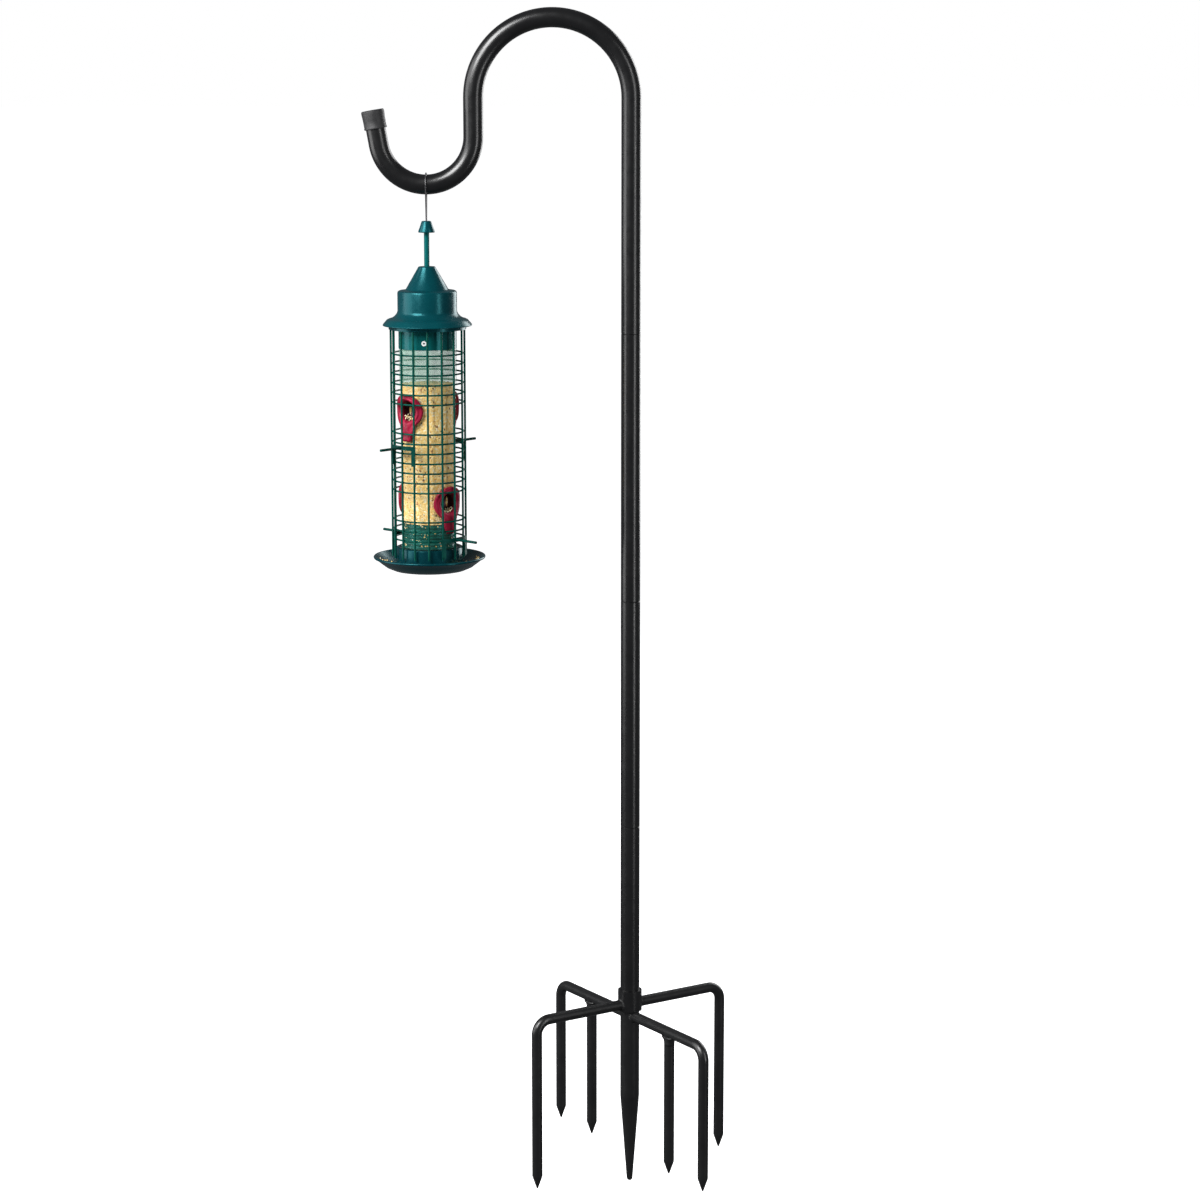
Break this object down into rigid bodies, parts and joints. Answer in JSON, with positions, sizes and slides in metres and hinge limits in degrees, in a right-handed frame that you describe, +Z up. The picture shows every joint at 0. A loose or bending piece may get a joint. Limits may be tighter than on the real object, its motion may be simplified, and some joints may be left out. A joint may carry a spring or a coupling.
{
  "type": "bird feeder on pole",
  "caption": "Tube seed feeder with a weight-closed wire shroud and catch tray, hung on a sectional crook pole with a pronged ground base.",
  "frame": {"origin": "pole axis at the ground line, which is the underside of the lower prong bars", "axes": "+Z up along the pole, -X towards the hook and feeder, -Y towards the viewer"},
  "size_m": [0.4098, 0.2594, 1.3465],
  "materials": {
    "black_steel": "satin black powder coat",
    "black_rubber": "satin moulded rubber",
    "hanger_wire": "dark coated wire",
    "green_plastic": "glossy moulded plastic",
    "dark_green_plastic": "satin moulded plastic",
    "green_metal": "glossy powder coat",
    "clear_plastic": "clear extruded tube",
    "seed": "mixed seed grains",
    "red_plastic": "glossy moulded plastic",
    "zinc": "bright zinc plate",
    "spring_steel": "bright drawn wire"
  },
  "bodies": {
    "pole": {"ground_spike": "black_steel", "tine_arm_front_right": "black_steel", "inner_tine_front_right": "black_steel", "tine_arm_back_left": "black_steel", "inner_tine_back_left": "black_steel", "lower_pole": "black_steel", "middle_pole": "black_steel", "upper_pole": "black_steel", "hook_pole": "black_steel", "hook_tip": "black_steel", "hook_end_cap": "black_rubber"},
    "upper_fork": {"swivel_collar": "black_steel", "tine_arm_front_left": "black_steel", "tine_arm_back_right": "black_steel"},
    "hanger": {"hanger_wire": "hanger_wire"},
    "feeder": {"hanger_bell": "green_plastic", "hanger_rod": "green_metal", "tube_collar": "green_plastic", "collar_rivets": "zinc", "spring_seat": "green_plastic", "return_spring": "spring_steel", "seed_tube": "clear_plastic", "seed_fill": "seed", "tube_base": "green_plastic", "seed_tray": "green_plastic", "port_upper_front": "red_plastic", "port_upper_back": "red_plastic", "port_lower_front": "red_plastic", "port_lower_back": "red_plastic"},
    "lid": {"lid": "green_plastic"},
    "shroud": {"shroud_ring": "green_plastic", "shroud_bridge": "green_plastic", "cage_uprights": "green_metal", "cage_rings": "green_metal", "perch_upper_front": "dark_green_plastic", "perch_upper_back": "dark_green_plastic", "perch_lower_front": "dark_green_plastic", "perch_lower_back": "dark_green_plastic"}
  },
  "joints": [
    {"name": "fork_swivel", "type": "hinge", "parent": "pole", "child": "upper_fork", "pos_m": [0, 0, 0.0196], "axis": [0, 0, 1], "range_deg": [-75, 75]},
    {"name": "wire_swing", "type": "hinge", "parent": "pole", "child": "hanger", "pos_m": [-0.2265, 0, 0.9589], "axis": [1, 0, 0], "range_deg": [-40, 40]},
    {"name": "feeder_sway", "type": "hinge", "parent": "hanger", "child": "feeder", "pos_m": [-0.2265, 0, 0.912], "axis": [0, 1, 0], "range_deg": [-8, 8]},
    {"name": "lid_lift", "type": "slide", "parent": "feeder", "child": "lid", "axis": [0, 0, 1], "range_m": [0, 0.036]},
    {"name": "shroud_drop", "type": "slide", "parent": "feeder", "child": "shroud", "axis": [0, 0, 1], "range_m": [-0.012, 0], "stiffness_N_per_m": 350, "springref_m": 0.014, "deforming": ["return_spring"]}
  ]
}
